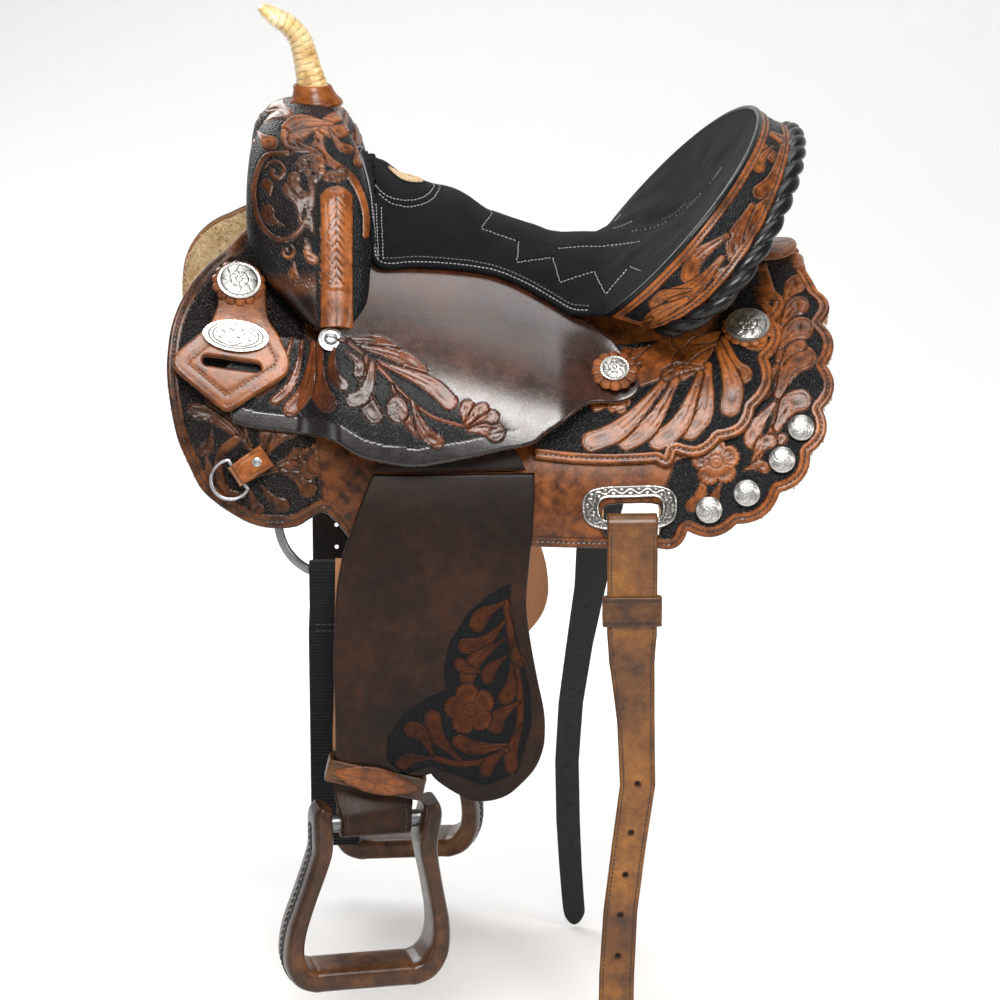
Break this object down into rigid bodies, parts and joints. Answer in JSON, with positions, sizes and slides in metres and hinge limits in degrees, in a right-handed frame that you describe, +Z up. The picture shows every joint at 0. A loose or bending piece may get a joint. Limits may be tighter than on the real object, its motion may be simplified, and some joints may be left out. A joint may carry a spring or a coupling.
{
  "type": "western saddle",
  "caption": "Western riding saddle with a tall thin horn, padded dished seat, tooled skirts, fenders, stirrups, latigo and flank billets that hang and swing.",
  "frame": {"origin": "centre of the bounding box's underside", "axes": "+Z up, -X toward the horse's head, -Y the near (left) side"},
  "size_m": [0.6024, 0.565, 0.9668],
  "materials": {
    "black_leather": "dyed black",
    "fleece": "curly wool pile",
    "foam": "open-cell padding",
    "nylon_web": "ribbed webbing",
    "rawhide": "varnished rawhide",
    "silver": "engraved, bright",
    "smooth_leather": "smooth, waxed",
    "steel": "satin",
    "strap_leather": "waxed harness leather",
    "suede": "suede, brushed",
    "tooled_leather": "hand tooled, antiqued",
    "wood": "rawhide covered"
  },
  "bodies": {
    "saddle": {"cantle_back": "tooled_leather", "cantle_rope": "black_leather", "dee_tab_near": "black_leather", "dee_tab_off": "black_leather", "fleece_near": "fleece", "fleece_off": "fleece", "front_concho_near": "silver", "front_concho_off": "silver", "ground_seat": "black_leather", "horn_core": "steel", "horn_wrap": "rawhide", "latigo_keeper_near": "tooled_leather", "latigo_keeper_off": "tooled_leather", "leather_loop_near": "black_leather", "leather_loop_off": "black_leather", "oval_concho_near": "silver", "oval_concho_off": "silver", "rear_concho_near": "silver", "rear_concho_off": "silver", "rear_jockey_near": "tooled_leather", "rear_jockey_off": "tooled_leather", "rigging_dee_near": "steel", "rigging_dee_off": "steel", "seat_concho_near": "silver", "seat_concho_off": "silver", "seat_cover": "suede", "seat_foam": "foam", "seat_jockey_near": "smooth_leather", "seat_jockey_off": "smooth_leather", "skirt_near": "tooled_leather", "skirt_off": "tooled_leather", "slot_plate_near": "silver", "slot_plate_off": "silver", "swell_cover": "tooled_leather", "swell_screw_near": "steel", "swell_screw_off": "steel", "tree_bar_near": "wood", "tree_bar_off": "wood", "tree_cantle": "wood", "tree_fork": "wood"},
    "near_fender_strap": {"fender_strap_near": "black_leather"},
    "near_fender": {"fender_near": "smooth_leather", "stirrup_leather_near": "black_leather", "hobble_strap_near": "tooled_leather"},
    "near_stirrup": {"stirrup_near": "tooled_leather", "stirrup_bolt_near": "steel"},
    "near_flank_billet": {"flank_billet_near": "strap_leather"},
    "near_billet_keeper": {"billet_keeper_near": "tooled_leather"},
    "near_collar_dee": {"collar_dee_near": "steel"},
    "off_fender_strap": {"fender_strap_off": "black_leather"},
    "off_fender": {"fender_off": "smooth_leather", "stirrup_leather_off": "black_leather", "hobble_strap_off": "tooled_leather"},
    "off_stirrup": {"stirrup_off": "tooled_leather", "stirrup_bolt_off": "steel"},
    "off_flank_billet": {"flank_billet_off": "black_leather"},
    "off_billet_keeper": {"billet_keeper_off": "tooled_leather"},
    "off_collar_dee": {"collar_dee_off": "steel"},
    "near_latigo": {"latigo_near": "nylon_web"},
    "off_girth_billet": {"off_billet": "black_leather"}
  },
  "joints": [
    {"name": "near_fender_swing", "type": "hinge", "parent": "saddle", "child": "near_fender_strap", "pos_m": [-0.05125, -0.19679, 0.6353], "axis": [0, 1, 0], "range_deg": [-8, 15]},
    {"name": "near_fender_flare", "type": "hinge", "parent": "near_fender_strap", "child": "near_fender", "pos_m": [-0.05125, -0.22985, 0.5763], "axis": [-1, 0, 0], "range_deg": [0, 40]},
    {"name": "near_stirrup_turn", "type": "hinge", "parent": "near_fender", "child": "near_stirrup", "pos_m": [-0.11875, -0.2405, 0.2553], "axis": [-0.9816, -0.1908, 0], "range_deg": [-10, 25]},
    {"name": "near_billet_swing", "type": "hinge", "parent": "saddle", "child": "near_flank_billet", "pos_m": [0.11375, -0.23498, 0.52875], "axis": [-1, 0, 0], "range_deg": [-4, 50]},
    {"name": "near_keeper_slide", "type": "slide", "parent": "near_flank_billet", "child": "near_billet_keeper", "axis": [0, -0.02, -0.9998], "range_m": [-0.018, 0.018]},
    {"name": "near_latigo_swing", "type": "hinge", "parent": "saddle", "child": "near_latigo", "pos_m": [-0.15275, -0.21948, 0.4843], "axis": [1, 0, 0], "range_deg": [-5, 18]},
    {"name": "near_collar_dee_turn", "type": "hinge", "parent": "saddle", "child": "near_collar_dee", "pos_m": [-0.23775, -0.22398, 0.57558], "axis": [-0.55, 0.2019, 0.8104], "range_deg": [0, 140]},
    {"name": "off_fender_swing", "type": "hinge", "parent": "saddle", "child": "off_fender_strap", "pos_m": [-0.05125, 0.19679, 0.6353], "axis": [0, 1, 0], "range_deg": [-4, 18]},
    {"name": "off_fender_flare", "type": "hinge", "parent": "off_fender_strap", "child": "off_fender", "pos_m": [-0.04611, 0.22985, 0.57652], "axis": [0.9962, 0, 0.0872], "range_deg": [0, 40]},
    {"name": "off_stirrup_turn", "type": "hinge", "parent": "off_fender", "child": "off_stirrup", "pos_m": [-0.08224, 0.2405, 0.215], "axis": [0.9779, -0.1908, 0.0856], "range_deg": [-10, 25]},
    {"name": "off_billet_swing", "type": "hinge", "parent": "saddle", "child": "off_flank_billet", "pos_m": [0.11375, 0.23498, 0.52875], "axis": [1, 0, 0], "range_deg": [-4, 50]},
    {"name": "off_keeper_slide", "type": "slide", "parent": "off_flank_billet", "child": "off_billet_keeper", "axis": [0, -0.1191, -0.9929], "range_m": [-0.018, 0.018]},
    {"name": "off_girth_billet_swing", "type": "hinge", "parent": "saddle", "child": "off_girth_billet", "pos_m": [-0.15275, 0.21948, 0.4843], "axis": [-1, 0, 0], "range_deg": [-5, 18]},
    {"name": "off_collar_dee_turn", "type": "hinge", "parent": "saddle", "child": "off_collar_dee", "pos_m": [-0.23775, 0.22398, 0.57558], "axis": [0.55, 0.2019, -0.8104], "range_deg": [0, 140]}
  ]
}
